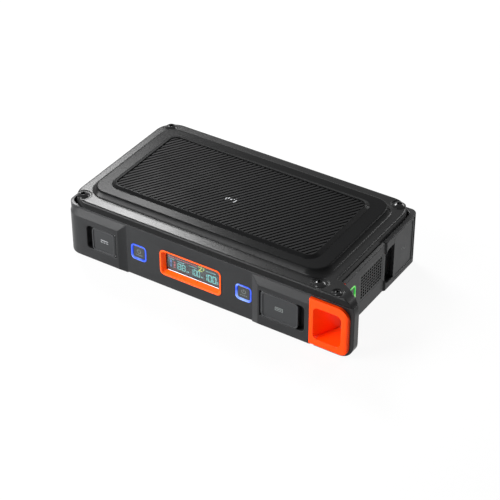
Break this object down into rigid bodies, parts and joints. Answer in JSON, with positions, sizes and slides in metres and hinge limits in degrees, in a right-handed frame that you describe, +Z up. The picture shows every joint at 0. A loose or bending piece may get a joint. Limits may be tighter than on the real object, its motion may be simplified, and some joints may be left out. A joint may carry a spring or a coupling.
{
  "type": "portable power pack",
  "caption": "Portable power pack with a ribbed charging pad on a stepped top, colour display, lit push buttons, hinged socket covers and a corner strap loop.",
  "frame": {"origin": "middle of the footprint, on the ground under the feet", "axes": "+X along the long side towards the strap loop, -Y the front panel, +Z up"},
  "size_m": [0.2262, 0.1212, 0.0511],
  "materials": {
    "shell_plastic": "fine-grained black moulding",
    "loop_plastic": "fine-grained black moulding",
    "orange_plastic": "smooth orange moulding",
    "pad_rubber": "ribbed grip surface",
    "screw_black": "black oxide, polished dome",
    "foot_rubber": "soft black rubber",
    "grille_plastic": "fine-grained black moulding",
    "window_clear": "smoked clear window",
    "display_module": "display module",
    "button_plastic": "semi-gloss black cap",
    "ring_blue": "lit light guide",
    "ring_green": "lit light guide",
    "cover_rubber": "firm rubber-like cover",
    "steel": "bright steel",
    "port_black": "black socket moulding",
    "port_steel": "plated socket shell",
    "circuit_board": "green circuit board",
    "switch_body": "tact switch",
    "cell_wrap": "blue sleeve",
    "holder_plastic": "plain black moulding",
    "nickel": "nickel strip",
    "copper": "enamelled copper",
    "ferrite": "grey ferrite",
    "core_tape": "taped core",
    "capacitor_sleeve": "sleeved can",
    "heat_sink": "extruded",
    "fan_plastic": "plain black moulding"
  },
  "bodies": {
    "housing": {"lower_shell": "shell_plastic", "upper_shell": "shell_plastic", "loop_frame": "loop_plastic", "loop_liner": "orange_plastic", "charging_pad": "pad_rubber", "cover_screws": "screw_black", "loop_screw": "screw_black", "rubber_feet": "foot_rubber", "exhaust_grille": "grille_plastic", "intake_grille": "grille_plastic", "display_bezel": "orange_plastic", "display_window": "window_clear", "display_module": "display_module", "dc_light_ring": "ring_blue", "usb_light_ring": "ring_blue", "ac_light_ring": "ring_green", "dc_hinge_pin": "steel", "usb_hinge_pin": "steel", "ac_hinge_pin": "steel", "dc_jacks": "port_black", "usb_a_ports": "port_steel", "usb_c_ports": "port_steel", "ac_outlet": "port_black", "front_board": "circuit_board", "side_board": "circuit_board", "port_boards": "circuit_board", "button_switches": "switch_body", "battery_cells": "cell_wrap", "cell_holders": "holder_plastic", "cell_tabs": "nickel", "battery_board": "circuit_board", "charging_coil": "copper", "coil_ferrite": "ferrite", "inverter_board": "circuit_board", "inverter_transformer": "core_tape", "inverter_choke": "copper", "filter_capacitors": "capacitor_sleeve", "heat_sink": "heat_sink", "board_screws": "steel", "fan_frame": "fan_plastic"},
    "dc_door": {"dc_cover": "cover_rubber"},
    "usb_door": {"usb_cover": "cover_rubber"},
    "ac_door": {"ac_cover": "cover_rubber"},
    "dc_press": {"dc_button": "button_plastic"},
    "usb_press": {"usb_button": "button_plastic"},
    "ac_press": {"ac_button": "button_plastic"},
    "fan": {"fan_rotor": "fan_plastic"}
  },
  "joints": [
    {"name": "dc_door_hinge", "type": "hinge", "parent": "housing", "child": "dc_door", "pos_m": [-0.0715, -0.05925, 0.0204], "axis": [0, 0, 1], "range_deg": [0, 90]},
    {"name": "usb_door_hinge", "type": "hinge", "parent": "housing", "child": "usb_door", "pos_m": [0.0459, -0.05925, 0.0204], "axis": [0, 0, -1], "range_deg": [0, 90]},
    {"name": "ac_door_hinge", "type": "hinge", "parent": "housing", "child": "ac_door", "pos_m": [0.09335, 0.0542, 0.0217], "axis": [0, 0, 1], "range_deg": [0, 90]},
    {"name": "dc_button_press", "type": "slide", "parent": "housing", "child": "dc_press", "axis": [0, 1, 0], "range_m": [0, 0.0008], "stiffness_N_per_m": 1500},
    {"name": "usb_button_press", "type": "slide", "parent": "housing", "child": "usb_press", "axis": [0, 1, 0], "range_m": [0, 0.0008], "stiffness_N_per_m": 1500},
    {"name": "ac_button_press", "type": "slide", "parent": "housing", "child": "ac_press", "axis": [-1, 0, 0], "range_m": [0, 0.0008], "stiffness_N_per_m": 1500},
    {"name": "fan_spin", "type": "hinge", "parent": "housing", "child": "fan", "pos_m": [0.0858, -0.0016, 0.023], "axis": [1, 0, 0], "continuous": true}
  ]
}
